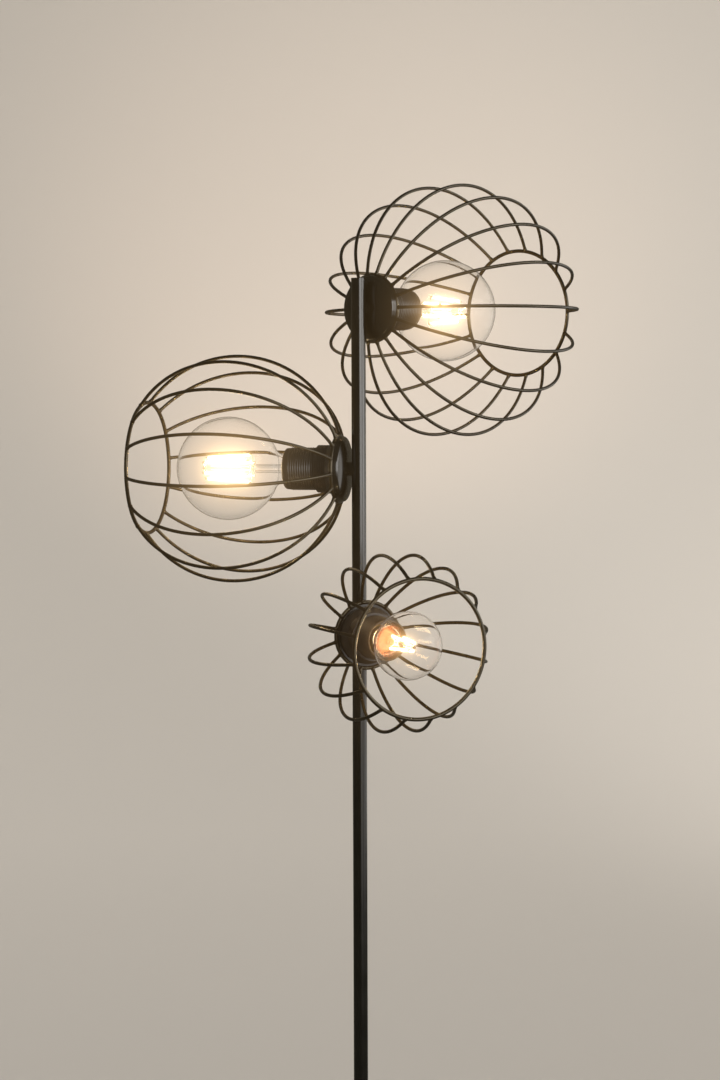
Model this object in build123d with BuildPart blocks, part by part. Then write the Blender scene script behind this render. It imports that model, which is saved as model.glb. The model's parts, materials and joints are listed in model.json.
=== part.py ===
from build123d import *

import os
from math import acos, asin, atan2, cos, degrees, radians, sin, sqrt, tan

# A floor lamp with three wire-cage heads on one slim pole. Millimetres.
# The origin is the middle of the base on the floor, +Z is up and the pole stands on Z.
# A head's azimuth turns from +X towards +Y. Inside a head, places are given as a radius
# from the head's level axis and a reach along it, measured out from the pole's axis.

# Pole
POLE_TOP = 1500.0
POLE_DIAMETER = 13.0
POLE_WALL = 1.2
UPPER_TUBE_LENGTH = 740.0
COUPLER_LENGTH = 60.0
COUPLER_BORE = 5.2
CAP_LIP = 2.0
CAP_PLUG = 9.0

# Base
BASE_DIAMETER = 240.0
BASE_EDGE = 4.0
COVER_WALL = 1.2
PAD_THICKNESS = 2.0
PAD_INSET = 4.0
RECESS_DIAMETER = 36.0
WEIGHT_ROOF = 9.0
BASE_WASHER_DIAMETER = 28.0
BASE_WASHER_THICKNESS = 1.6
BASE_NUT_ACROSS = 20.0
BASE_NUT_THICKNESS = 5.0
THREAD_TAIL = 0.5
COLLAR_DIAMETER = 30.0
COLLAR_NECK = 18.0
COLLAR_HEIGHT = 18.0
COLLAR_EDGE = 1.5

# Cord inlet and inner wiring
GLAND_BORE = 6.0
GLAND_BODY = 8.6
GLAND_FLANGE = 11.0
GLAND_FLANGE_THICKNESS = 2.2
GLAND_INSIDE = 4.0
INLET_MARGIN = 0.4
CABLE_DIAMETER = 4.5
CABLE_BEND = 6.0
TAIL_DIAMETER = 3.6

# The three heads: drop of the axis below the pole's top, azimuth, cage, ribs
TOP_DROP = 27.0
TOP_AZIMUTH = 48.6
TOP_CAGE_DIAMETER = 240.0
TOP_RIBS = 18
TOP_RIB_START = -0.65
LEFT_DROP = 172.5
LEFT_AZIMUTH = 166.0
LEFT_CAGE_DIAMETER = 210.0
LEFT_RIBS = 14
LEFT_RIB_START = 19.0
LOW_DROP = 322.0
LOW_AZIMUTH = -68.4
LOW_CAGE_DIAMETER = 160.0
LOW_RIBS = 16
LOW_RIB_START = 9.8

# Cage wire
RIB_WIRE = 3.0
RING_WIRE = 3.5
FRONT_RING_DIAMETER = 121.0
BACK_RING_DIAMETER = 60.0
PLATE_THICKNESS = 1.5
PLATE_HOLE = 3.0
PLATE_HOLE_COUNT = 4
PLATE_HOLE_CIRCLE = 51.0
PLATE_HOLE_START = 45.0

# Head mounting on the pole
SPACER_DIAMETER = 12.4
SPACER_LENGTH = 2.5
CUP_DEPTH = 8.0
CUP_DIAMETER = 61.2
CUP_CROWN = 3.8
CUP_FLAT_MARGIN = 1.0
CUP_TAPER = 1.4
CUP_CORNER = 2.6
CUP_WALL = 1.2
NIPPLE_DIAMETER = 10.0
NIPPLE_BORE = 7.0
NIPPLE_INSIDE = 2.5
LOCK_WASHER_DIAMETER = 18.0
LOCK_WASHER_THICKNESS = 0.8

# Lampholder
HOLDER_REACH = 68.0
SKIRT_DIAMETER = 39.0
SKIRT_WALL = 2.0
SKIRT_LIP = 1.2
HOLDER_CAP_DIAMETER = 46.0
HOLDER_CAP_BACK = 28.0
HOLDER_CAP_FLOOR = 2.5
HOLDER_NECK = 1.5
HOLDER_NECK_WALL = 3.0
SHADE_RING_FLANGE = 52.0
SHADE_RING_FLANGE_THICKNESS = 2.4
SHADE_RING_DIAMETER = 43.4
SHADE_RING_LENGTH = 18.0
SHADE_RING_FLARE = 5.0
CORE_REACH = 57.0
WEB_BACK = 28.0
WEB_THICKNESS = 7.0
SHELL_WALL = 0.5
CONTACT_HEIGHT = 3.3
CONTACT_STRIP = 0.5
CONTACT_WIDTH = 6.0
CONTACT_LENGTH = 12.0

# Bulbs: a screw cap common to all, then the two globe sizes
BULB_CAP_DIAMETER = 26.4
BULB_CAP_LENGTH = 27.0
BULB_CAP_WALL = 0.5
BULB_TIP_DIAMETER = 9.6
BULB_TIP_HEIGHT = 1.0
BULB_CONE_HEIGHT = 6.6
BULB_CONE_SHOULDER = 21.0
BULB_CAP_FLOOR = 1.5
GLASS_WALL = 0.8
NECK_DEPTH = 7.0
GLOBE_DIAMETER = 95.0
GLOBE_LENGTH = 132.5
GLOBE_NECK_CURVE = 14.0
GLOBE_STICKS = 6
GLOBE_STICK_LENGTH = 44.0
GLOBE_STICK_TOP = 22.0
GLOBE_STICK_FOOT_CIRCLE = 25.0
GLOBE_STICK_TOP_CIRCLE = 19.0
PEAR_DIAMETER = 60.0
PEAR_LENGTH = 105.4
PEAR_NECK_CURVE = 45.0
PEAR_STICKS = 4
PEAR_STICK_LENGTH = 37.0
PEAR_STICK_TOP = 11.0
PEAR_STICK_FOOT_CIRCLE = 16.0
PEAR_STICK_TOP_CIRCLE = 9.0
STICK_DIAMETER = 1.8
STICK_TURN = 35.0
STEM_FLARE = 3.0
STEM_DIAMETER = 8.0
STEM_ROD_DIAMETER = 3.0
STEM_ROD_BEAD = 3.0
LEAD_WIRE = 0.8
LEAD_HUB_DIAMETER = 4.6
LEAD_HUB_LENGTH = 2.0

# Clearances
THREAD_CLEARANCE = 0.1
BULB_CLEARANCE = 0.3
CABLE_CLEARANCE = 0.4
SLOT_CLEARANCE = 1.2
WEIGHT_CLEARANCE = 0.3

# Sizes that follow from the above
pole_radius = POLE_DIAMETER / 2
pole_bore = pole_radius - POLE_WALL
tube_joint = POLE_TOP - UPPER_TUBE_LENGTH
base_radius = BASE_DIAMETER / 2
inlet_height = PAD_THICKNESS + GLAND_FLANGE / 2 + INLET_MARGIN
cable_slot = CABLE_DIAMETER + 2 * SLOT_CLEARANCE
pole_foot = inlet_height + CABLE_DIAMETER / 2 + CABLE_CLEARANCE
washer_seat = pole_foot + THREAD_TAIL + BASE_NUT_THICKNESS
recess_ceiling = washer_seat + BASE_WASHER_THICKNESS
base_rim = inlet_height + GLAND_FLANGE / 2 + BASE_EDGE
base_crown = recess_ceiling + WEIGHT_ROOF + WEIGHT_CLEARANCE + COVER_WALL
crown_slope = atan2(base_crown - base_rim, base_radius)
collar_seat = base_crown - COLLAR_DIAMETER / 2 * tan(crown_slope)

cup_back = pole_radius + SPACER_LENGTH
cup_rim = cup_back + CUP_DEPTH
ring_plane = cup_rim + RING_WIRE / 2
plate_back = ring_plane - PLATE_THICKNESS / 2
plate_front = ring_plane + PLATE_THICKNESS / 2
plate_radius = BACK_RING_DIAMETER / 2 - RING_WIRE / 2
holder_seat = cup_back + CUP_WALL + LOCK_WASHER_THICKNESS
holder_floor = holder_seat + HOLDER_CAP_FLOOR
skirt_radius = SKIRT_DIAMETER / 2
skirt_bore = skirt_radius - SKIRT_WALL
core_radius = skirt_bore - THREAD_CLEARANCE
web_front = WEB_BACK + WEB_THICKNESS
bulb_seat = web_front + CONTACT_HEIGHT + BULB_CLEARANCE
bulb_cap_end = bulb_seat + BULB_CAP_LENGTH
shell_bore = BULB_CAP_DIAMETER / 2 + BULB_CLEARANCE
core_bore = shell_bore + SHELL_WALL + THREAD_CLEARANCE
neck_radius = BULB_CAP_DIAMETER / 2 - BULB_CAP_WALL - THREAD_CLEARANCE
nipple_radius = NIPPLE_DIAMETER / 2
thread_bore = nipple_radius + THREAD_CLEARANCE


class Bulb:
    """Sizes of one bulb's glass and filament, with its globe's middle as a reach."""

    def __init__(self, diameter, length, neck_curve, sticks, stick_length, stick_top, foot, top):
        self.radius = diameter / 2
        self.middle = bulb_seat + length - self.radius
        self.neck_curve = neck_curve
        self.sticks = sticks
        self.stick_top = self.middle + stick_top
        self.stick_foot = self.stick_top - stick_length
        self.foot_radius = foot / 2
        self.top_radius = top / 2


class Head:
    """One head's axis, section plane (radius, reach) and cage sphere."""

    def __init__(self, name, drop, azimuth, cage_diameter, ribs, rib_start, bulb):
        self.name = name
        self.height = POLE_TOP - drop
        self.out = Vector(cos(radians(azimuth)), sin(radians(azimuth)), 0)
        self.side = Vector(0, 0, 1).cross(self.out)
        self.foot = Vector(0, 0, self.height)
        self.axis = Axis(self.foot, self.out)
        self.section = Plane(self.foot, x_dir=(0, 0, 1), z_dir=self.side)
        self.cage_radius = cage_diameter / 2 - RIB_WIRE / 2
        self.ribs = ribs
        self.rib_start = rib_start
        self.bulb = bulb
        back_ring = BACK_RING_DIAMETER / 2
        front_ring = FRONT_RING_DIAMETER / 2
        self.cage_middle = ring_plane + sqrt(self.cage_radius**2 - back_ring**2)
        self.mouth = self.cage_middle + sqrt(self.cage_radius**2 - front_ring**2)

    def across(self, reach):
        """Plane square to the head's axis at a reach."""
        return Plane(self.foot + self.out * reach, x_dir=self.side, z_dir=self.out)

    def place(self, angle, radius, reach):
        """Point at an angle round the head's axis, from its side direction upwards."""
        turned = self.side * cos(radians(angle)) + Vector(0, 0, 1) * sin(radians(angle))
        return self.foot + self.out * reach + turned * radius


globe = Bulb(GLOBE_DIAMETER, GLOBE_LENGTH, GLOBE_NECK_CURVE, GLOBE_STICKS, GLOBE_STICK_LENGTH,
             GLOBE_STICK_TOP, GLOBE_STICK_FOOT_CIRCLE, GLOBE_STICK_TOP_CIRCLE)
pear = Bulb(PEAR_DIAMETER, PEAR_LENGTH, PEAR_NECK_CURVE, PEAR_STICKS, PEAR_STICK_LENGTH,
            PEAR_STICK_TOP, PEAR_STICK_FOOT_CIRCLE, PEAR_STICK_TOP_CIRCLE)
heads = [
    Head("top", TOP_DROP, TOP_AZIMUTH, TOP_CAGE_DIAMETER, TOP_RIBS, TOP_RIB_START, globe),
    Head("left", LEFT_DROP, LEFT_AZIMUTH, LEFT_CAGE_DIAMETER, LEFT_RIBS, LEFT_RIB_START, globe),
    Head("low", LOW_DROP, LOW_AZIMUTH, LOW_CAGE_DIAMETER, LOW_RIBS, LOW_RIB_START, pear),
]


def save(part, name):
    """Label a finished piece and write it."""
    part.label = name
    export_step(part, f"parts/{name}.step")


def turn_profile(head, *corners):
    """Solid turned about a head's axis from the corners (radius, reach) of its half section."""
    with BuildPart() as turned:
        with BuildSketch(head.section):
            with BuildLine():
                Polyline(*corners, close=True)
            make_face()
        revolve(axis=head.axis)
    return turned.part


# Base

def base_section(inset):
    """Half section of the crowned base, set in from the cover's outer face."""
    crown = base_crown - inset / cos(crown_slope)
    edge = base_radius - inset
    rim = (edge, crown - edge * tan(crown_slope))
    with BuildSketch(Plane.XZ) as half:
        with BuildLine():
            Polyline((0, PAD_THICKNESS), (edge, PAD_THICKNESS), rim, (0, crown), close=True)
        make_face()
        fillet(half.vertices().sort_by_distance(rim)[0], BASE_EDGE - inset)
    return half.sketch


def make_base():
    with BuildPart() as pad:
        Cylinder(base_radius - PAD_INSET, PAD_THICKNESS, align=(Align.CENTER, Align.CENTER, Align.MIN))
    save(pad.part, "base_pad")

    with BuildPart() as cover:
        revolve(base_section(0), axis=Axis.Z)
        revolve(base_section(COVER_WALL), axis=Axis.Z, mode=Mode.SUBTRACT)
        Cylinder(pole_radius + THREAD_CLEARANCE, base_crown * 2, mode=Mode.SUBTRACT)
        with BuildSketch(Plane.XZ.offset(-base_radius)):
            with Locations((0, inlet_height)):
                Circle(GLAND_BODY / 2 + THREAD_CLEARANCE)
        extrude(amount=GLAND_INSIDE, mode=Mode.SUBTRACT)
    save(cover.part, "base_cover")

    with BuildPart() as weight:
        revolve(base_section(COVER_WALL + WEIGHT_CLEARANCE), axis=Axis.Z)
        Cylinder(pole_radius + THREAD_CLEARANCE, base_crown * 2, mode=Mode.SUBTRACT)
        with BuildSketch(Plane.XY.offset(PAD_THICKNESS)):
            Circle(RECESS_DIAMETER / 2)
        extrude(amount=recess_ceiling - PAD_THICKNESS, mode=Mode.SUBTRACT)
        with BuildSketch(Plane.XZ.offset(-base_radius)):
            with Locations((0, PAD_THICKNESS)):
                slot_height = inlet_height + cable_slot / 2 - PAD_THICKNESS
                Rectangle(cable_slot, slot_height, align=(Align.CENTER, Align.MIN))
        extrude(amount=base_radius, mode=Mode.SUBTRACT)
        with BuildSketch(Plane.XZ.offset(-base_radius)):
            with Locations((0, inlet_height)):
                Circle(GLAND_BODY / 2 + THREAD_CLEARANCE)
        extrude(amount=COVER_WALL + GLAND_INSIDE + THREAD_CLEARANCE, mode=Mode.SUBTRACT)
    save(weight.part, "base_weight")

    with BuildPart() as washer:
        with BuildSketch(Plane.XY.offset(washer_seat)):
            Circle(BASE_WASHER_DIAMETER / 2)
            Circle(pole_radius + THREAD_CLEARANCE, mode=Mode.SUBTRACT)
        extrude(amount=BASE_WASHER_THICKNESS)
    save(washer.part, "base_washer")

    with BuildPart() as nut:
        with BuildSketch(Plane.XY.offset(pole_foot + THREAD_TAIL)):
            RegularPolygon(BASE_NUT_ACROSS / 2, 6, major_radius=False)
            Circle(pole_radius + THREAD_CLEARANCE, mode=Mode.SUBTRACT)
        extrude(amount=BASE_NUT_THICKNESS)
    save(nut.part, "base_nut")

    with BuildPart() as gland:
        with BuildSketch(Plane.YZ):
            with BuildLine():
                Polyline(
                    (base_radius - COVER_WALL - GLAND_INSIDE, inlet_height + GLAND_BORE / 2),
                    (base_radius - COVER_WALL - GLAND_INSIDE, inlet_height + GLAND_BODY / 2),
                    (base_radius, inlet_height + GLAND_BODY / 2),
                    (base_radius, inlet_height + GLAND_FLANGE / 2),
                    (base_radius + GLAND_FLANGE_THICKNESS, inlet_height + GLAND_BODY / 2),
                    (base_radius + GLAND_FLANGE_THICKNESS, inlet_height + GLAND_BORE / 2),
                    close=True,
                )
            make_face()
        revolve(axis=Axis((0, 0, inlet_height), (0, 1, 0)))
    save(gland.part, "cord_gland")


# Pole

def make_pole():
    collar_bore = pole_radius + THREAD_CLEARANCE
    with BuildPart() as collar:
        with BuildSketch(Plane.XZ):
            with BuildLine():
                Polyline(
                    (collar_bore, collar_seat + COLLAR_HEIGHT),
                    (COLLAR_NECK / 2, collar_seat + COLLAR_HEIGHT),
                    (COLLAR_DIAMETER / 2, collar_seat + COLLAR_HEIGHT / 2),
                    (COLLAR_DIAMETER / 2, collar_seat),
                    (collar_bore, base_crown - collar_bore * tan(crown_slope)),
                    close=True,
                )
            make_face()
        revolve(axis=Axis.Z)
        rims = collar.edges().filter_by(GeomType.CIRCLE)
        fillet(rims.filter_by(lambda e: abs(e.radius - COLLAR_NECK / 2) < 1e-4), COLLAR_EDGE)
    save(collar.part, "pole_collar")

    with BuildPart() as lower:
        with BuildSketch(Plane.XY.offset(pole_foot)):
            Circle(pole_radius)
            Circle(pole_bore, mode=Mode.SUBTRACT)
        extrude(amount=tube_joint - pole_foot)
    save(lower.part, "lower_tube")

    with BuildPart() as upper:
        with BuildSketch(Plane.XY.offset(tube_joint)):
            Circle(pole_radius)
            Circle(pole_bore, mode=Mode.SUBTRACT)
        extrude(amount=UPPER_TUBE_LENGTH - CAP_LIP)
        for head in heads:
            with BuildSketch(head.across(0)):
                Circle(thread_bore)
            extrude(amount=POLE_DIAMETER, mode=Mode.SUBTRACT)
    save(upper.part, "upper_tube")

    with BuildPart() as coupler:
        with BuildSketch(Plane.XY.offset(tube_joint - COUPLER_LENGTH / 2)):
            Circle(pole_bore - THREAD_CLEARANCE)
            Circle(COUPLER_BORE / 2, mode=Mode.SUBTRACT)
        extrude(amount=COUPLER_LENGTH)
    save(coupler.part, "tube_coupler")

    with BuildPart() as cap:
        with BuildSketch(Plane.XY.offset(POLE_TOP - CAP_LIP)):
            Circle(pole_radius)
        extrude(amount=CAP_LIP)
        with BuildSketch(Plane.XY.offset(POLE_TOP - CAP_LIP - CAP_PLUG)):
            Circle(pole_bore - THREAD_CLEARANCE)
        extrude(amount=CAP_PLUG)
    save(cap.part, "pole_cap")


def make_wiring():
    """Flex from the inlet up the pole, with a tail through each head's nipple."""
    inlet_end = base_radius - COVER_WALL - GLAND_INSIDE - CABLE_CLEARANCE
    trunk_top = max(head.height for head in heads) + TAIL_DIAMETER
    with BuildPart() as wiring:
        with BuildLine() as route:
            FilletPolyline(
                (0, inlet_end, inlet_height),
                (0, 0, inlet_height),
                (0, 0, trunk_top),
                radius=CABLE_BEND,
            )
        with BuildSketch(Plane((0, inlet_end, inlet_height), z_dir=(0, -1, 0))):
            Circle(CABLE_DIAMETER / 2)
        sweep(path=route.line)
        for head in heads:
            with BuildSketch(head.across(0)):
                Circle(TAIL_DIAMETER / 2)
            extrude(amount=WEB_BACK)
    save(wiring.part, "wiring")


# Head mounting

def make_mounts():
    """Spacers, threaded nipples and lock washers, one of each to a head."""
    with BuildPart() as spacers:
        for head in heads:
            with BuildSketch(head.across(0)):
                Circle(SPACER_DIAMETER / 2)
                Circle(thread_bore, mode=Mode.SUBTRACT)
            extrude(amount=cup_back)
        with BuildSketch(Plane.XY.offset(tube_joint)):
            Circle(pole_radius)
        extrude(amount=UPPER_TUBE_LENGTH, mode=Mode.SUBTRACT)
    save(spacers.part, "pole_spacers")

    with BuildPart() as nipples:
        for head in heads:
            with BuildSketch(head.across(pole_radius - NIPPLE_INSIDE)):
                Circle(nipple_radius)
                Circle(NIPPLE_BORE / 2, mode=Mode.SUBTRACT)
            extrude(amount=holder_floor + HOLDER_NECK - pole_radius + NIPPLE_INSIDE)
    save(nipples.part, "threaded_nipples")

    with BuildPart() as washers:
        for head in heads:
            with BuildSketch(head.across(cup_back + CUP_WALL)):
                Circle(LOCK_WASHER_DIAMETER / 2)
                Circle(thread_bore, mode=Mode.SUBTRACT)
            extrude(amount=LOCK_WASHER_THICKNESS)
    save(washers.part, "lock_washers")


def cup_section(head, inset):
    """Half section of the domed cup, set in from its outer face and open at the rim."""
    rim_radius = CUP_DIAMETER / 2 - inset
    back = cup_back + inset
    flat_edge = (LOCK_WASHER_DIAMETER / 2 + CUP_FLAT_MARGIN, back)
    corner = (rim_radius - CUP_TAPER, back + CUP_CROWN)
    with BuildSketch(head.section) as half:
        with BuildLine():
            Line((0, back), flat_edge)
            TangentArc(flat_edge, corner, tangent=(1, 0))
            Polyline(corner, (rim_radius, cup_rim), (0, cup_rim), (0, back))
        make_face()
        fillet(half.vertices().sort_by_distance(corner)[0], CUP_CORNER - inset)
    return half.sketch


def make_cup(head):
    with BuildPart() as cup:
        revolve(cup_section(head, 0), axis=head.axis)
        revolve(cup_section(head, CUP_WALL), axis=head.axis, mode=Mode.SUBTRACT)
        with BuildSketch(head.across(0)):
            Circle(thread_bore)
        extrude(amount=cup_rim, mode=Mode.SUBTRACT)
    save(cup.part, f"{head.name}_cup")


# Cage

def make_cage(head):
    """Two welded rings, a collar plate inside the back ring, and ribs coped to the rings."""
    with BuildPart(head.across(ring_plane)) as back_ring:
        Torus(BACK_RING_DIAMETER / 2, RING_WIRE / 2)
    save(back_ring.part, f"{head.name}_cage_back_ring")

    with BuildPart(head.across(head.mouth)) as front_ring:
        Torus(FRONT_RING_DIAMETER / 2, RING_WIRE / 2)
    save(front_ring.part, f"{head.name}_cage_front_ring")

    with BuildPart() as plate:
        with BuildSketch(head.across(plate_back)):
            Circle(plate_radius)
            Circle(skirt_radius + THREAD_CLEARANCE, mode=Mode.SUBTRACT)
            with PolarLocations(PLATE_HOLE_CIRCLE / 2, PLATE_HOLE_COUNT, PLATE_HOLE_START):
                Circle(PLATE_HOLE / 2, mode=Mode.SUBTRACT)
        extrude(amount=PLATE_THICKNESS)
    save(plate.part, f"{head.name}_cage_plate")

    at_mouth = asin(FRONT_RING_DIAMETER / 2 / head.cage_radius)
    at_back = radians(180) - asin(BACK_RING_DIAMETER / 2 / head.cage_radius)
    start = head.place(head.rib_start, head.cage_radius * sin(at_mouth), head.mouth)
    radial = head.place(head.rib_start, 1, 0) - head.foot
    along = radial * cos(at_mouth) - head.out * sin(at_mouth)
    hinge = head.out.cross(radial)
    with BuildPart() as rib:
        with BuildSketch(Plane(start, x_dir=hinge, z_dir=along)):
            Circle(RIB_WIRE / 2)
        revolve(
            axis=Axis(head.foot + head.out * head.cage_middle, hinge),
            revolution_arc=degrees(at_back - at_mouth),
        )
        add(front_ring.part, mode=Mode.SUBTRACT)
        add(back_ring.part, mode=Mode.SUBTRACT)
    turns = [360 / head.ribs * count for count in range(head.ribs)]
    half_way = head.ribs // 2
    for half, half_turns in [("upper", turns[:half_way]), ("lower", turns[half_way:])]:
        with BuildPart() as ribs:
            add([rib.part.rotate(head.axis, turn) for turn in half_turns])
        save(ribs.part, f"{head.name}_cage_{half}_ribs")


# Lampholder

def make_holder_caps():
    """Lampholder caps behind the cage plates, one to a head."""
    cap_radius = HOLDER_CAP_DIAMETER / 2
    neck = thread_bore + HOLDER_NECK_WALL
    with BuildPart() as caps:
        for head in heads:
            with BuildSketch(head.section):
                with BuildLine():
                    Polyline(
                        (thread_bore, holder_seat),
                        (HOLDER_CAP_BACK / 2, holder_seat),
                        (cap_radius, holder_floor),
                        (cap_radius, plate_back),
                        (skirt_radius + THREAD_CLEARANCE, plate_back),
                        (skirt_radius + THREAD_CLEARANCE, holder_floor),
                        (neck, holder_floor),
                        (neck, holder_floor + HOLDER_NECK),
                        (thread_bore, holder_floor + HOLDER_NECK),
                        close=True,
                    )
                make_face()
            revolve(axis=head.axis)
    save(caps.part, "holder_caps")


def make_holder(head):
    """Threaded skirt, shade ring and insulating core of a lampholder."""
    skirt = turn_profile(
        head,
        (skirt_bore, holder_floor),
        (skirt_radius, holder_floor),
        (skirt_radius, HOLDER_REACH - SKIRT_LIP),
        (skirt_radius - SKIRT_LIP, HOLDER_REACH),
        (skirt_bore, HOLDER_REACH),
    )
    save(skirt, f"{head.name}_holder_skirt")

    ring_bore = skirt_radius + THREAD_CLEARANCE
    flange_front = plate_front + SHADE_RING_FLANGE_THICKNESS
    shade_ring = turn_profile(
        head,
        (ring_bore, plate_front),
        (SHADE_RING_FLANGE / 2, plate_front),
        (SHADE_RING_FLANGE / 2, flange_front),
        (SHADE_RING_DIAMETER / 2, flange_front + SHADE_RING_FLARE),
        (SHADE_RING_DIAMETER / 2, plate_front + SHADE_RING_LENGTH),
        (ring_bore, plate_front + SHADE_RING_LENGTH),
    )
    save(shade_ring, f"{head.name}_shade_ring")

    core = turn_profile(
        head,
        (core_bore, holder_floor),
        (core_radius, holder_floor),
        (core_radius, CORE_REACH),
        (core_bore, CORE_REACH),
        (core_bore, web_front),
        (0, web_front),
        (0, WEB_BACK),
        (core_bore, WEB_BACK),
    )
    save(core, f"{head.name}_holder_core")


def make_contacts():
    """Brass screw shells and spring contacts, one of each to a head."""
    with BuildPart() as shells:
        for head in heads:
            with BuildSketch(head.across(web_front)):
                Circle(shell_bore + SHELL_WALL)
                Circle(shell_bore, mode=Mode.SUBTRACT)
            extrude(amount=CORE_REACH - web_front)
    save(shells.part, "screw_shells")

    half = CONTACT_LENGTH / 2
    strip = CONTACT_STRIP / 2
    with BuildPart() as contacts:
        for head in heads:
            with BuildSketch(head.section):
                with BuildLine():
                    spring = Polyline(
                        (-half, web_front + strip),
                        (half - CONTACT_HEIGHT / 2, web_front + strip),
                        (half, web_front + CONTACT_HEIGHT / 2),
                        (half - CONTACT_HEIGHT / 2, web_front + CONTACT_HEIGHT - strip),
                        (-half / 2, web_front + CONTACT_HEIGHT - strip),
                    )
                trace(spring, CONTACT_STRIP)
            extrude(amount=CONTACT_WIDTH / 2, both=True)
    save(contacts.part, "centre_contacts")


# Bulbs

def glass_curve(bulb, inset):
    """Neck, concave shoulder and globe as one line, set in from the glass's outer face."""
    neck = neck_radius - inset
    curve = bulb.neck_curve + inset
    globe_radius = bulb.radius - inset
    centres = bulb.radius + bulb.neck_curve
    shift = neck_radius + bulb.neck_curve
    shoulder = bulb.middle - sqrt(centres**2 - shift**2)
    lean = degrees(acos(shift / centres))
    Line((neck, bulb_cap_end - NECK_DEPTH), (neck, shoulder))
    CenterArc((neck + curve, shoulder), curve, 180, -lean)
    CenterArc((0, bulb.middle), globe_radius, -lean, 90 + lean)


def make_bulb(head):
    bulb = head.bulb
    glass_foot = bulb_cap_end - NECK_DEPTH
    with BuildPart() as glass:
        with BuildSketch(head.section):
            with BuildLine():
                glass_curve(bulb, 0)
                glass_curve(bulb, GLASS_WALL)
                Line((neck_radius, glass_foot), (neck_radius - GLASS_WALL, glass_foot))
                Line((0, bulb.middle + bulb.radius), (0, bulb.middle + bulb.radius - GLASS_WALL))
            make_face()
        revolve(axis=head.axis)
    save(glass.part, f"{head.name}_bulb_glass")

    cap_radius = BULB_CAP_DIAMETER / 2
    shoulder = bulb_seat + BULB_TIP_HEIGHT + BULB_CONE_HEIGHT
    cap = turn_profile(
        head,
        (0, bulb_seat),
        (BULB_TIP_DIAMETER / 2, bulb_seat),
        (BULB_TIP_DIAMETER / 2, bulb_seat + BULB_TIP_HEIGHT),
        (BULB_CONE_SHOULDER / 2, shoulder - BULB_TIP_HEIGHT),
        (cap_radius, shoulder),
        (cap_radius, bulb_cap_end),
        (cap_radius - BULB_CAP_WALL, bulb_cap_end),
        (cap_radius - BULB_CAP_WALL, shoulder + BULB_CAP_FLOOR),
        (0, shoulder + BULB_CAP_FLOOR),
    )
    save(cap, f"{head.name}_bulb_cap")

    stem_shoulder = bulb.stick_foot - LEAD_HUB_LENGTH
    stem = turn_profile(
        head,
        (0, glass_foot),
        (neck_radius - GLASS_WALL, glass_foot),
        (neck_radius - GLASS_WALL, glass_foot + GLASS_WALL),
        (STEM_DIAMETER / 2, glass_foot + NECK_DEPTH),
        (STEM_DIAMETER / 2, stem_shoulder - STEM_FLARE),
        (STEM_ROD_DIAMETER / 2, stem_shoulder),
        (STEM_ROD_DIAMETER / 2, bulb.stick_top + STEM_ROD_BEAD),
        (0, bulb.stick_top + STEM_ROD_BEAD),
    )
    save(stem, f"{head.name}_bulb_stem")

    angles = [STICK_TURN + 360 / bulb.sticks * count for count in range(bulb.sticks)]
    with BuildPart() as sticks:
        for angle in angles:
            foot = head.place(angle, bulb.foot_radius, bulb.stick_foot)
            top = head.place(angle, bulb.top_radius, bulb.stick_top)
            with BuildSketch(Plane(foot, z_dir=top - foot)):
                Circle(STICK_DIAMETER / 2)
            extrude(amount=(top - foot).length)
    save(sticks.part, f"{head.name}_bulb_filaments")

    ends = [
        (bulb.stick_foot - LEAD_WIRE / 2 - THREAD_CLEARANCE, bulb.foot_radius),
        (bulb.stick_top + LEAD_WIRE / 2 + THREAD_CLEARANCE, bulb.top_radius),
    ]
    with BuildPart() as leads:
        for reach, circle in ends:
            with BuildSketch(head.across(reach - LEAD_HUB_LENGTH / 2)):
                Circle(LEAD_HUB_DIAMETER / 2)
            extrude(amount=LEAD_HUB_LENGTH)
            for angle in angles:
                inner = head.place(angle, 0, reach)
                outer = head.place(angle, circle, reach)
                with BuildSketch(Plane(inner, z_dir=outer - inner)):
                    Circle(LEAD_WIRE / 2)
                extrude(amount=circle)
        with BuildSketch(head.across(bulb_seat)):
            Circle(STEM_ROD_DIAMETER / 2)
        extrude(amount=bulb.stick_top, mode=Mode.SUBTRACT)
    save(leads.part, f"{head.name}_bulb_leads")


os.makedirs("parts", exist_ok=True)
make_base()
make_pole()
make_wiring()
make_mounts()
make_holder_caps()
make_contacts()
for head in heads:
    make_cup(head)
    make_cage(head)
    make_holder(head)
    make_bulb(head)
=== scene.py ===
import json
from math import atan2, cos, pi, radians, sin

import bmesh
import bpy
from mathutils import Matrix, Vector


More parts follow.
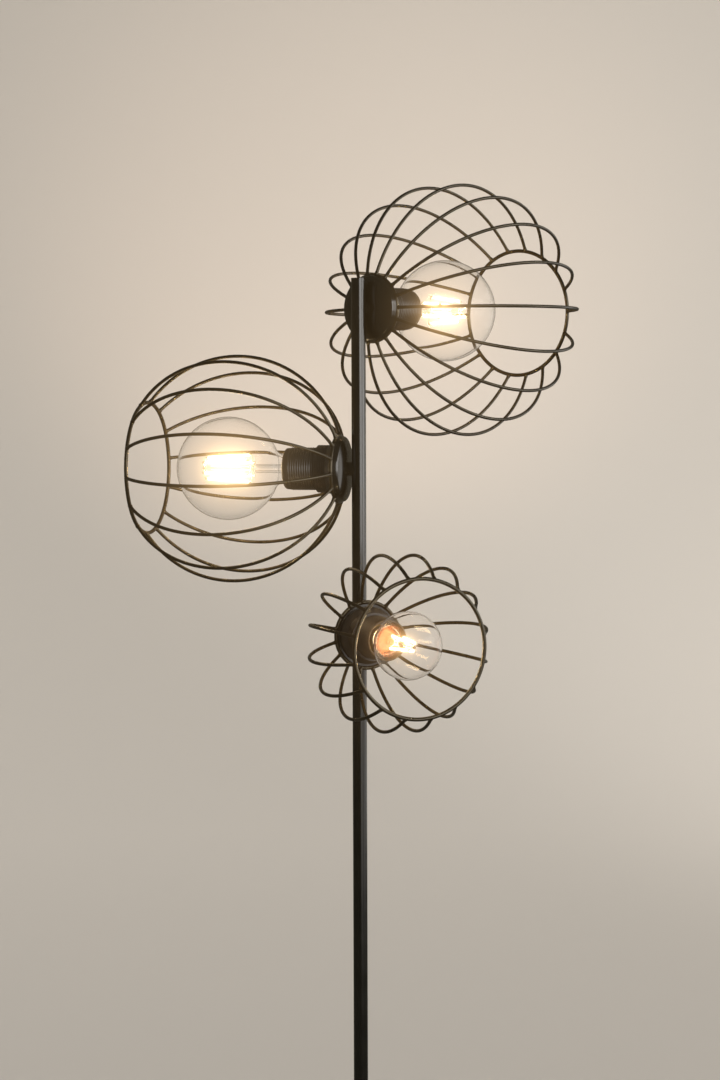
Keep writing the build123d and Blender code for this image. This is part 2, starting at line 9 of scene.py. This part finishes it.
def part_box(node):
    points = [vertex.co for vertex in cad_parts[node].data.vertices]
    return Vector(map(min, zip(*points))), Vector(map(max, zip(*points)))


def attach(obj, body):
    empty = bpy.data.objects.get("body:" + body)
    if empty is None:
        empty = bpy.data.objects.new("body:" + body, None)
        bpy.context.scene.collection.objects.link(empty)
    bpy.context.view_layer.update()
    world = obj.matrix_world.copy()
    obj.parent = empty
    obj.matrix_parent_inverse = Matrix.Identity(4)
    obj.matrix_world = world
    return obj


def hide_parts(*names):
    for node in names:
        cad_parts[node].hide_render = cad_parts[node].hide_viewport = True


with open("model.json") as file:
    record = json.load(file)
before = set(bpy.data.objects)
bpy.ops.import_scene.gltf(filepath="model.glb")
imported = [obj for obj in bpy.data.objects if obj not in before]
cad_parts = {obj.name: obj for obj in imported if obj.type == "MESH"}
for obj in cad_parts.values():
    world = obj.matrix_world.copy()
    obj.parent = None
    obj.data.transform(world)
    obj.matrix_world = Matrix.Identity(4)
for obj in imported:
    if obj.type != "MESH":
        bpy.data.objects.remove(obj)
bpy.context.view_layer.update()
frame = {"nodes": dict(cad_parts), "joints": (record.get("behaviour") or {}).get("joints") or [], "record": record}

# Looks of a floor lamp with three wire-cage heads. Metres, in the frame of the solids:
# the pole stands on Z, the floor is at 0 and the photograph looks along +Y.

# Camera, for a picture of 720 by 1080 pixels
EYE = (0.0008, -2.1110, 1.4057)
PITCH = 3.868
ROLL = 0.195
FOCAL_PIXELS = 2326.73
LONG_SIDE_PIXELS = 1080
SENSOR = 36.0

# Heads, from the top down
HEADS = ("top", "left", "low")
UP = Vector((0, 0, 1))

# Stage and studio
STAGE_RADIUS = 9.0
STAGE_CURVE = 5.0
STAGE_HEIGHT = 7.0
STAGE_SIDES = 96
STAGE_ROWS = 24
STAGE_COLOUR = (0.72, 0.685, 0.635)
# The floor is painted darker round the lamp, as painted shade, within the first distance and fades to the wall's
# tone by the second
STAGE_PAINTED_SHADE = 0.80
STAGE_SHADE_FADE = (1.8, 4.8)
SURROUND_COLOUR = (1.0, 0.975, 0.94)
SURROUND_STRENGTH = 0.82
GLOSS_COLOUR = (1.0, 0.92, 0.70)
GLOSS_STRENGTH = 0.10
PANEL_DISTANCE = 4.0
PANEL_COLOUR = (1.0, 0.98, 0.95)
# Soft panels: degrees to the right of the camera, bottom, top, width, radiance, and whether they
# show in gloss alone or light dull surfaces alone
PANELS = {
    "key": (35, 0.95, 3.1, 2.8, 5.5, True),
    "side": (80, 0.95, 3.1, 2.8, 5.0, True),
    "key_low": (35, 0.05, 0.95, 2.8, 1.2, True),
    "side_low": (80, 0.05, 0.95, 2.8, 1.2, True),
    "rim": (121, 0.2, 3.0, 2.6, 1.3, True),
    "fill": (50, 2.6, 4.6, 3.0, 2.4, False),
}
# Pools of light on the wall: place, watts, colour, spread in degrees
POOLS = {
    "warm_pool": ((-0.1, 4.0, 1.95), 165, (1.0, 0.75, 0.57), 54),
    "pale_pool": ((1.9, 0.8, 1.25), 500, (1.0, 0.95, 0.90), 54),
}
POOL_SIZE = 0.4

# Glass and light of the bulbs
GLASS_IOR = 1.18
LAMP_COLOUR = (1.0, 0.62, 0.30)
LAMP_WATTS = {"top": 1.1, "left": 1.1, "low": 0.45}
LAMP_SIZE = 0.012
STICK_GLOW = 60.0
GLARE_START = 1.0
GLARE_LIMIT = 30.0
GLARE_TINT = (1.0, 0.93, 0.79, 1.0)
# Wide, middling and close bloom: size, strength
GLARES = ((0.68, 0.35), (0.58, 0.55), (0.475, 0.35))

# Lampholder: the skirt's thread and the shade ring with its grooves
SKIRT_PITCH = 0.0022
SKIRT_RIDGE = 0.0006
SKIRT_LIP = 0.0012
THREAD_SIDES = 96
ROWS_PER_PITCH = 6
RING_FLANGE = 0.0024
RING_FLARE = 0.005
RING_RADIUS = 0.0217
RING_GROOVES = 4
RING_GROOVE_DEPTH = 0.0005
RING_GROOVE_WIDTH = 0.0011
# A groove's section: share of its width, share of its depth
RING_GROOVE_SECTION = ((0.0, 0.0), (0.2, 1.0), (0.8, 1.0), (1.0, 0.0))

# Screw thread of the bulb caps and their shells
SCREW_PITCH = 0.00362
SCREW_DEPTH = 0.0011
SHELL_DEPTH = 0.0003
SHELL_SHEET = 0.0003
SHELL_GAP = 0.0001
CAP_SHEET = 0.0004
CAP_COLLAR = 0.004
CAP_TIP_HEIGHT = 0.001
CAP_TIP_RADIUS = 0.0048
# The solder tip's crown: height, share of its radius
CAP_TIP_CROWN = ((0.0, 0.0), (0.0001, 0.5), (0.0004, 0.85), (0.0008, 1.0))
CAP_CONE_HEIGHT = 0.0066
CONE_EDGE = 0.0006
CONE_MARGIN = 0.0004
CEMENT_DEPTH = 0.0012
CEMENT_GAP = 0.0002
SHELL_LENGTH = 0.022

# Cage ribs (count, first angle) and the welds at their ends
RIBS = {"top": (18, -0.65), "left": (14, 19.0), "low": (16, 9.8)}
WELD_SIDES = 12
WELD_PROFILE = ((-0.0012, 0.0), (-0.0012, 0.0012), (0.0, 0.00195), (0.0014, 0.0021), (0.0022, 0.00195),
                (0.003, 0.0017), (0.0042, 0.00153), (0.0042, 0.0))

# Lit sticks (count, radius of the feet's circle, radius of the tops' circle) and their end clips
STICKS = {"top": (6, 0.0125, 0.0095), "left": (6, 0.0125, 0.0095), "low": (4, 0.008, 0.0045)}
STICK_TURN = 35.0
CLIP_LENGTH = 0.0024
CLIP_RADIUS = 0.00112
CLIP_SIDES = 12

# Edges sharper than this many degrees stay sharp
SHARP_ANGLE = 40.0


class Head:
    """Axis of one head, from its bulb's joint and its back ring."""

    def __init__(self, name):
        self.name = name
        joint = next(j for j in frame["joints"] if j["name"] == f"{name}_bulb_out")
        self.out = Vector(joint["axis"]).normalized()
        self.side = UP.cross(self.out)
        low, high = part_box(f"{name}_cage_back_ring")
        self.foot = Vector((0, 0, (low.z + high.z) / 2))
        self.body = f"{name}_bulb"

    def spot(self, angle, radius, reach):
        """Point at an angle round the axis, from its side direction upwards."""
        return self.foot + self.out * reach + (self.side * cos(angle) + UP * sin(angle)) * radius

    def reaches(self, piece):
        """First and last reach of one of the head's nodes along its axis."""
        node = frame["nodes"][f"{self.name}_{piece}"]
        along = [(v.co - self.foot).dot(self.out) for v in node.data.vertices]
        return min(along), max(along)

    def radii(self, piece):
        """Least and greatest radius of one of the head's nodes from its axis."""
        node = frame["nodes"][f"{self.name}_{piece}"]
        arms = [v.co - self.foot for v in node.data.vertices]
        lengths = [(arm - self.out * arm.dot(self.out)).length for arm in arms]
        return min(lengths), max(lengths)


heads = [Head(name) for name in HEADS]


# Materials

def start_material(name):
    """New node material, with its node tree and its shader."""
    material = bpy.data.materials.new(name)
    material.use_nodes = True
    tree = material.node_tree
    shader = next(n for n in tree.nodes if n.type == "BSDF_PRINCIPLED")
    return material, tree, shader


def add_node(tree, kind, values=(), **links):
    """Node of a kind, with values set on its inputs and other nodes' outputs linked to them."""
    node = tree.nodes.new(kind)
    for key, value in dict(values).items():
        node.inputs[key].default_value = value
    for key, source in links.items():
        tree.links.new(source, node.inputs[key])
    return node


def grain(tree, scale, detail=4.0, rough=0.55):
    """Noise in the object's own metres."""
    where = tree.nodes.new("ShaderNodeTexCoord").outputs["Object"]
    values = {"Scale": scale, "Detail": detail, "Roughness": rough}
    return add_node(tree, "ShaderNodeTexNoise", values, Vector=where).outputs["Fac"]


def ramp(tree, source, low, high, start=0.3, end=0.7):
    """Two colours or greys spread over a noise."""
    node = add_node(tree, "ShaderNodeValToRGB", Fac=source)
    first, last = node.color_ramp.elements
    first.position, last.position = start, end
    first.color, last.color = low, high
    return node.outputs["Color"]


def spread(tree, source, low, high):
    """A noise mapped to a range of numbers."""
    values = {"From Min": 0.3, "From Max": 0.7, "To Min": low, "To Max": high}
    return add_node(tree, "ShaderNodeMapRange", values, Value=source).outputs["Result"]


def bump(tree, shader, source, strength, depth):
    """Small relief from a noise, with its depth in metres."""
    values = {"Strength": strength, "Distance": depth}
    relief = add_node(tree, "ShaderNodeBump", values, Height=source)
    tree.links.new(relief.outputs["Normal"], shader.inputs["Normal"])


def finish_material(name, dark, light, roughness, metallic=0.0, scale=60.0, grain_scale=1500.0,
                    relief=0.00002, sheen=(1.0, 1.0, 1.0)):
    """Surface with two close tones, uneven roughness, a fine grain and a tint in its gloss."""
    material, tree, shader = start_material(name)
    tone = grain(tree, scale)
    tree.links.new(ramp(tree, tone, (*dark, 1), (*light, 1)), shader.inputs["Base Color"])
    tree.links.new(spread(tree, tone, *roughness), shader.inputs["Roughness"])
    shader.inputs["Metallic"].default_value = metallic
    shader.inputs["Specular Tint"].default_value = (*sheen, 1)
    bump(tree, shader, grain(tree, grain_scale, detail=2.0), strength=0.35, depth=relief)
    return material


def glass_material(name, tint, waviness):
    """Clear blown glass: faint streaks and a slow waviness."""
    material, tree, shader = start_material(name)
    streaks = grain(tree, 25.0, detail=3.0)
    tree.links.new(ramp(tree, streaks, (*tint, 1), (1, 1, 1, 1)), shader.inputs["Base Color"])
    tree.links.new(spread(tree, streaks, 0.0, 0.02), shader.inputs["Roughness"])
    shader.inputs["Transmission Weight"].default_value = 1.0
    shader.inputs["IOR"].default_value = GLASS_IOR
    bump(tree, shader, grain(tree, 18.0, detail=1.0), strength=0.2, depth=waviness)
    return material


def glow_material(name, colour, hot, strength):
    """Lit phosphor coat in two close tones."""
    material, tree, shader = start_material(name)
    tone = grain(tree, 400.0, detail=2.0)
    tree.links.new(ramp(tree, tone, (*colour, 1), (*hot, 1)), shader.inputs["Base Color"])
    tree.links.new(ramp(tree, tone, (*colour, 1), (*hot, 1)), shader.inputs["Emission Color"])
    shader.inputs["Emission Strength"].default_value = strength
    shader.inputs["Roughness"].default_value = 0.4
    return material


def stage_material():
    """Pale paint, with painted shade darkening the floor round the lamp."""
    material, tree, shader = start_material("pale_stage")
    where = tree.nodes.new("ShaderNodeTexCoord").outputs["Object"]
    distance = add_node(tree, "ShaderNodeVectorMath", Vector=where)
    distance.operation = "LENGTH"
    values = {"From Min": STAGE_SHADE_FADE[0], "From Max": STAGE_SHADE_FADE[1]}
    away = add_node(tree, "ShaderNodeMapRange", values, Value=distance.outputs["Value"]).outputs["Result"]
    # Painted shade: the floor's colour is darker near the lamp's foot and lightens outwards
    painted_shade_colour = (*(STAGE_PAINTED_SHADE * c for c in STAGE_COLOUR), 1)
    colour = ramp(tree, away, painted_shade_colour, (*STAGE_COLOUR, 1), start=0.0, end=1.0)
    tree.links.new(colour, shader.inputs["Base Color"])
    shader.inputs["Roughness"].default_value = 0.9
    shader.inputs["Specular IOR Level"].default_value = 0.1
    return material


def make_materials():
    """One material to each slot of the record, and one more for the cement in the bulb caps."""
    return {
        "black_metal": finish_material("black_metal", (0.006, 0.0056, 0.0038), (0.010, 0.0092, 0.0062),
                                       (0.13, 0.19), relief=0.000004),
        "black_wire": finish_material("black_wire", (0.009, 0.0073, 0.0042), (0.015, 0.0122, 0.0072),
                                      (0.24, 0.34), relief=0.000006, sheen=(1.0, 0.86, 0.62)),
        "black_plastic": finish_material("black_plastic", (0.017, 0.0138, 0.0095), (0.026, 0.0208, 0.0145),
                                         (0.36, 0.48)),
        "insulator": finish_material("insulator", (0.016, 0.013, 0.011), (0.028, 0.022, 0.018), (0.3, 0.45)),
        "brass": finish_material("brass", (0.62, 0.41, 0.15), (0.78, 0.56, 0.24), (0.22, 0.36), 1.0),
        "cement": finish_material("cement", (0.10, 0.032, 0.012), (0.24, 0.10, 0.045), (0.4, 0.6),
                                  scale=400.0),
        "steel": finish_material("steel", (0.48, 0.48, 0.47), (0.62, 0.62, 0.61), (0.25, 0.4), 1.0),
        "iron": finish_material("iron", (0.05, 0.05, 0.05), (0.10, 0.10, 0.10), (0.6, 0.8), 0.6,
                                grain_scale=500.0, relief=0.0002),
        "pad": finish_material("pad", (0.018, 0.018, 0.018), (0.035, 0.035, 0.035), (0.8, 0.95)),
        "gland": finish_material("gland", (0.015, 0.015, 0.015), (0.025, 0.025, 0.025), (0.55, 0.7)),
        "flex": finish_material("flex", (0.02, 0.02, 0.02), (0.03, 0.03, 0.03), (0.5, 0.65)),
        "glass": glass_material("glass", (0.985, 0.975, 0.96), 0.0004),
        "bulb_cap": finish_material("bulb_cap", (0.60, 0.54, 0.46), (0.76, 0.70, 0.62), (0.2, 0.35), 1.0),
        "filament": glow_material("filament", (1.0, 0.66, 0.30), (1.0, 0.82, 0.52), STICK_GLOW),
        "lead": finish_material("lead", (0.5, 0.48, 0.45), (0.62, 0.6, 0.57), (0.25, 0.4), 1.0),
    }


materials = make_materials()


def dress_solids():
    """Each node of the frame takes the material of its slot in the record."""
    for subpart in frame["record"]["subparts"]:
        mesh = frame["nodes"][subpart["node"]].data
        mesh.materials.clear()
        mesh.materials.append(materials[subpart["material_slot"]])


# Pieces

def make_object(name, corners, faces, slot, body, material=None):
    """Smooth mesh from corners and faces, with its slot's material unless given one, riding on a body."""
    mesh = bpy.data.meshes.new(name)
    mesh.from_pydata(corners, [], faces)
    shape = bmesh.new()
    shape.from_mesh(mesh)
    bmesh.ops.recalc_face_normals(shape, faces=shape.faces)
    shape.to_mesh(mesh)
    shape.free()
    mesh.materials.append(materials[material or slot])
    mesh.shade_smooth()
    mesh.set_sharp_from_angle(angle=radians(SHARP_ANGLE))
    piece = bpy.data.objects.new(name, mesh)
    bpy.context.scene.collection.objects.link(piece)
    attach(piece, body)
    return piece


def join_shapes(shapes):
    """One list of corners and faces from several."""
    corners, faces = [], []
    for more_corners, more_faces in shapes:
        first = len(corners)
        corners += more_corners
        faces += [tuple(first + corner for corner in face) for face in more_faces]
    return corners, faces


def turned(spot, rows, sides, loop=False):
    """Corners and faces turned about an axis from rows of a place along it and a radius.

    spot gives the point at an angle, radius and place. A radius may be a function of the angle,
    and a radius of 0 is one point on the axis. A loop joins the last row to the first."""
    corners, rings = [], []
    for place, radius in rows:
        first = len(corners)
        if radius == 0:
            corners.append(spot(0, 0, place))
            rings.append([first] * sides)
            continue
        for step in range(sides):
            angle = 2 * pi * step / sides
            corners.append(spot(angle, radius(angle) if callable(radius) else radius, place))
        rings.append(range(first, first + sides))
    followers = rings[1:] + rings[:1] if loop else rings[1:]
    faces = []
    for here, there in zip(rings, followers):
        for step in range(sides):
            beside = (step + 1) % sides
            face = (here[step], here[beside], there[beside], there[step])
            faces.append(tuple(dict.fromkeys(face)))
    return corners, faces


def thread_rows(start, end, pitch, depth, root):
    """Rows of a rounded helical thread that fades in and out, standing on a root radius."""
    count = round((end - start) / pitch * ROWS_PER_PITCH)
    rows = []
    for step in range(count + 1):
        reach = start + (end - start) * step / count
        fade = min(1.0, (reach - start) / pitch, (end - reach) / pitch)

        def wavy(angle, reach=reach, fade=fade):
            phase = 2 * pi * (reach - start) / pitch - angle
            return root + depth * fade * (0.5 + 0.5 * cos(phase))

        rows.append((reach, wavy))
    return rows


def make_skirt(head):
    """Lampholder skirt with the thread that its shade ring runs on."""
    back, front = head.reaches("holder_skirt")
    bore, radius = head.radii("holder_skirt")
    root = radius - SKIRT_RIDGE
    rows = [(back, bore), (back, root)]
    rows += thread_rows(back + SKIRT_PITCH, front - 3 * SKIRT_LIP, SKIRT_PITCH, SKIRT_RIDGE, root)
    rows += [(front - 2 * SKIRT_LIP, root), (front - SKIRT_LIP, root - SKIRT_LIP / 8)]
    rows += [(front - SKIRT_LIP / 3, root - SKIRT_LIP / 2), (front, root - SKIRT_LIP), (front, bore)]
    skirt = make_object(f"{head.name}_threaded_skirt", *turned(head.spot, rows, THREAD_SIDES, True),
                        "black_plastic", "stand")
    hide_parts(f"{head.name}_holder_skirt")


def make_ring(head):
    """Shade ring with grooves round its barrel for the fingers."""
    back, front = head.reaches("shade_ring")
    bore, flange = head.radii("shade_ring")
    barrel = back + RING_FLANGE + RING_FLARE
    rows = [(back, bore), (back, flange), (back + RING_FLANGE, flange), (barrel, RING_RADIUS)]
    for step in range(RING_GROOVES):
        start = barrel + (front - barrel) * (step + 0.5) / (RING_GROOVES + 0.5)
        for place, depth in RING_GROOVE_SECTION:
            rows.append((start + place * RING_GROOVE_WIDTH, RING_RADIUS - depth * RING_GROOVE_DEPTH))
    rows += [(front, RING_RADIUS), (front, bore)]
    ring = make_object(f"{head.name}_grooved_ring", *turned(head.spot, rows, THREAD_SIDES, True),
                       "black_plastic", "stand")
    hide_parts(f"{head.name}_shade_ring")


def make_cap(head):
    """Threaded bulb cap with its insulating cone, solder tip and the cement under the stem."""
    back, front = head.reaches("bulb_cap")
    radius = head.radii("bulb_cap")[1]
    root = radius - SCREW_DEPTH
    shoulder = back + CAP_TIP_HEIGHT + CAP_CONE_HEIGHT
    outer = thread_rows(shoulder, front - CAP_COLLAR, SCREW_PITCH, SCREW_DEPTH, root)
    outer += [(front - CAP_COLLAR / 2, radius), (front, radius)]
    inner = thread_rows(shoulder, front - CAP_COLLAR, SCREW_PITCH, SCREW_DEPTH, root - CAP_SHEET)
    inner += [(front - CAP_COLLAR / 2, radius - CAP_SHEET), (front, radius - CAP_SHEET)]
    sheet = turned(head.spot, outer + inner[::-1], THREAD_SIDES, True)
    cap = make_object(f"{head.name}_threaded_cap", *sheet, "bulb_cap", head.body)
    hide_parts(f"{head.name}_bulb_cap")

    cone = back + CAP_TIP_HEIGHT / 2
    rows = [(cone, 0), (cone, CAP_TIP_RADIUS + 2 * CONE_EDGE),
            (cone + CONE_EDGE, CAP_TIP_RADIUS + 3 * CONE_EDGE),
            (shoulder - 2 * CONE_EDGE, root - 4 * CONE_MARGIN), (shoulder, root - CONE_MARGIN),
            (shoulder + CONE_EDGE, root - 2 * CONE_MARGIN), (shoulder + CONE_EDGE, 0)]
    make_object(f"{head.name}_cap_insulator", *turned(head.spot, rows, THREAD_SIDES), "insulator", head.body)

    rows = [(back + height, CAP_TIP_RADIUS * share) for height, share in CAP_TIP_CROWN]
    rows += [(cone + CONE_EDGE, CAP_TIP_RADIUS), (cone + CONE_EDGE, 0)]
    make_object(f"{head.name}_cap_tip", *turned(head.spot, rows, THREAD_SIDES // 2), "lead", head.body)

    foot = head.reaches("bulb_glass")[0] - CEMENT_GAP
    rim = root - CAP_SHEET - CEMENT_GAP
    rows = [(foot - CEMENT_DEPTH, 0), (foot - CEMENT_DEPTH, rim), (foot - CEMENT_DEPTH / 3, rim),
            (foot, rim - CEMENT_DEPTH / 2), (foot - CEMENT_DEPTH / 3, rim / 2), (foot - CEMENT_DEPTH / 3, 0)]
    cement = turned(head.spot, rows, THREAD_SIDES // 2)
    make_object(f"{head.name}_cap_cement", *cement, "insulator", head.body, "cement")


def make_shells():
    """Rolled brass screw shells of the three lampholders."""
    shapes = []
    for head in heads:
        front = head.reaches("holder_core")[1]
        back = front - SHELL_LENGTH
        radius = head.radii("bulb_cap")[1] + SHELL_GAP
        inner = thread_rows(back, front, SCREW_PITCH, SHELL_DEPTH, radius)
        outer = thread_rows(back, front, SCREW_PITCH, SHELL_DEPTH, radius + SHELL_SHEET)
        shapes.append(turned(head.spot, inner + outer[::-1], THREAD_SIDES, True))
    shells = make_object("rolled_shells", *join_shapes(shapes), "brass", "stand")
    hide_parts("screw_shells")


def make_welds(head):
    """Weld beads where the ribs meet the two rings of a cage."""
    ends = []
    for ring in ("cage_back_ring", "cage_front_ring"):
        ends.append((sum(head.radii(ring)) / 2, sum(head.reaches(ring)) / 2))
    (back_radius, back), (front_radius, front) = ends
    middle = (front**2 + front_radius**2 - back**2 - back_radius**2) / (2 * (front - back))
    count, first = RIBS[head.name]
    shapes = []
    for radius, reach, way in [(back_radius, back, -1), (front_radius, front, 1)]:
        lean = atan2(radius, reach - middle)
        for step in range(count):
            angle = radians(first + 360 / count * step)
            foot = head.spot(angle, radius, reach)
            radial = head.spot(angle, 1, 0) - head.foot
            along = (radial * cos(lean) - head.out * sin(lean)) * way
            across = along.cross(head.spot(angle + pi / 2, 1, 0) - head.foot)
            beside = along.cross(across)

            def spot(turn, wide, place, foot=foot, along=along, across=across, beside=beside):
                return foot + along * place + (across * cos(turn) + beside * sin(turn)) * wide

            shapes.append(turned(spot, WELD_PROFILE, WELD_SIDES))
    make_object(f"{head.name}_welds", *join_shapes(shapes), "black_wire", "stand")


def make_clips(head):
    """Bright metal clips on both ends of a bulb's lit sticks."""
    foot, top = head.reaches("bulb_filaments")
    count, foot_radius, top_radius = STICKS[head.name]
    shapes = []
    for step in range(count):
        angle = radians(STICK_TURN + 360 / count * step)
        low = head.spot(angle, foot_radius, foot)
        high = head.spot(angle, top_radius, top)
        along = (high - low).normalized()
        across = along.orthogonal().normalized()
        beside = along.cross(across)
        for start in (low, high - along * CLIP_LENGTH):

            def spot(turn, wide, place, start=start, along=along, across=across, beside=beside):
                return start + along * place + (across * cos(turn) + beside * sin(turn)) * wide

            rows = [(0, 0), (0, CLIP_RADIUS), (CLIP_LENGTH, CLIP_RADIUS), (CLIP_LENGTH, 0)]
            shapes.append(turned(spot, rows, CLIP_SIDES))
    clips = make_object(f"{head.name}_stick_clips", *join_shapes(shapes), "lead", head.body)
    clips.visible_shadow = False


# Stage, light and camera

def make_stage():
    """Round pale floor that curves up into a wall on every side, kept out of the gloss."""
    rows = [(0.0, 0), (0.0, STAGE_RADIUS - STAGE_CURVE)]
    for step in range(1, STAGE_ROWS + 1):
        angle = pi / 2 * step / STAGE_ROWS
        rows.append((STAGE_CURVE * (1 - cos(angle)), STAGE_RADIUS - STAGE_CURVE + STAGE_CURVE * sin(angle)))
    rows.append((STAGE_HEIGHT, STAGE_RADIUS))

    def spot(angle, radius, height):
        return radius * cos(angle), radius * sin(angle), height

    corners, faces = turned(spot, rows, STAGE_SIDES)
    mesh = bpy.data.meshes.new("stage")
    mesh.from_pydata(corners, [], faces)
    mesh.shade_smooth()
    mesh.materials.append(stage_material())
    floor = bpy.data.objects.new("stage", mesh)
    floor.visible_glossy = False
    bpy.context.scene.collection.objects.link(floor)


def add_light(name, kind, watts, colour, place, way):
    """Light of a kind at a place, shining a way, and not seen through glass."""
    light = bpy.data.lights.new(name, kind)
    light.energy = watts
    light.color = colour
    lamp = bpy.data.objects.new(name, light)
    lamp.location = place
    lamp.rotation_euler = Vector(way).to_track_quat("-Z", "Y").to_euler()
    lamp.visible_transmission = False
    bpy.context.scene.collection.objects.link(lamp)
    return lamp


def make_panel(name, bearing, bottom, top, width, radiance, in_gloss):
    """Upright soft panel that faces the pole."""
    away = Vector((sin(radians(bearing)), -cos(radians(bearing)), 0))
    height = top - bottom
    watts = radiance * pi * width * height
    place = away * PANEL_DISTANCE + UP * (bottom + height / 2)
    panel = add_light(name, "AREA", watts, PANEL_COLOUR, place, -away)
    panel.data.shape = "RECTANGLE"
    panel.data.size, panel.data.size_y = width, height
    panel.visible_glossy = in_gloss
    panel.visible_diffuse = not in_gloss


def make_world():
    """Even pale surround, dimmer where it shows in gloss, so that black paint stays black."""
    world = bpy.data.worlds.new("surround")
    world.use_nodes = True
    tree = world.node_tree
    output = next(n for n in tree.nodes if n.type == "OUTPUT_WORLD")
    even = next(n for n in tree.nodes if n.type == "BACKGROUND")
    even.inputs["Color"].default_value = (*SURROUND_COLOUR, 1)
    even.inputs["Strength"].default_value = SURROUND_STRENGTH
    dim = add_node(tree, "ShaderNodeBackground", {"Color": (*GLOSS_COLOUR, 1), "Strength": GLOSS_STRENGTH})
    rays = tree.nodes.new("ShaderNodeLightPath")
    mix = tree.nodes.new("ShaderNodeMixShader")
    tree.links.new(rays.outputs["Is Glossy Ray"], mix.inputs["Fac"])
    tree.links.new(even.outputs["Background"], mix.inputs[1])
    tree.links.new(dim.outputs["Background"], mix.inputs[2])
    tree.links.new(mix.outputs["Shader"], output.inputs["Surface"])
    bpy.context.scene.world = world


def make_studio():
    """Surround, soft panels on the right of the camera and pools of light on the wall behind."""
    make_world()
    for name, panel in PANELS.items():
        make_panel(name, *panel)
    for name, (place, watts, colour, spread_angle) in POOLS.items():
        pool = add_light(name, "SPOT", watts, colour, place, (0, 1, 0))
        pool.data.spot_size = radians(spread_angle)
        pool.data.spot_blend = 1.0
        pool.data.shadow_soft_size = POOL_SIZE
    bpy.context.scene.view_settings.view_transform = "Standard"


def make_glare():
    """Soft bloom round the lit sticks, as a lens gives."""
    scene = bpy.context.scene
    scene.use_nodes = True
    tree = scene.node_tree
    tree.nodes.clear()
    picture = tree.nodes.new("CompositorNodeRLayers").outputs["Image"]
    for size, strength in GLARES:
        glare = tree.nodes.new("CompositorNodeGlare")
        glare.glare_type = "BLOOM"
        values = {"Threshold": GLARE_START, "Clamp": True, "Maximum": GLARE_LIMIT, "Tint": GLARE_TINT,
                  "Size": size, "Strength": strength}
        for key, value in values.items():
            glare.inputs[key].default_value = value
        tree.links.new(picture, glare.inputs["Image"])
        picture = glare.outputs["Image"]
    add_node(tree, "CompositorNodeComposite", Image=picture)


def make_lamp_light(head):
    """Warm point light among a bulb's lit sticks, let out by its glass."""
    first, last = head.reaches("bulb_filaments")
    light = bpy.data.lights.new(f"{head.name}_lamp", "POINT")
    light.energy = LAMP_WATTS[head.name]
    light.color = LAMP_COLOUR
    light.shadow_soft_size = LAMP_SIZE
    lamp = bpy.data.objects.new(f"{head.name}_lamp", light)
    lamp.location = head.spot(0, 0, (first + last) / 2)
    lamp.visible_camera = False
    lamp.visible_glossy = False
    lamp.visible_transmission = False
    bpy.context.scene.collection.objects.link(lamp)
    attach(lamp, head.body)
    for piece in ("bulb_glass", "bulb_stem", "bulb_filaments", "bulb_leads"):
        frame["nodes"][f"{head.name}_{piece}"].visible_shadow = False


def make_camera():
    """Camera at the photograph's eye, looking slightly down."""
    camera = bpy.data.cameras.new("camera")
    camera.sensor_width = SENSOR
    camera.lens = SENSOR * FOCAL_PIXELS / LONG_SIDE_PIXELS
    eye = bpy.data.objects.new("camera", camera)
    tilt = Matrix.Rotation(radians(90 - PITCH), 4, "X")
    roll = Matrix.Rotation(radians(-ROLL), 4, "Z")
    eye.matrix_world = Matrix.Translation(EYE) @ tilt @ roll
    bpy.context.scene.collection.objects.link(eye)
    bpy.context.scene.camera = eye


make_camera()
make_stage()
make_studio()
make_glare()
dress_solids()
make_shells()
for head in heads:
    make_lamp_light(head)
    make_skirt(head)
    make_ring(head)
    make_cap(head)
    make_welds(head)
    make_clips(head)
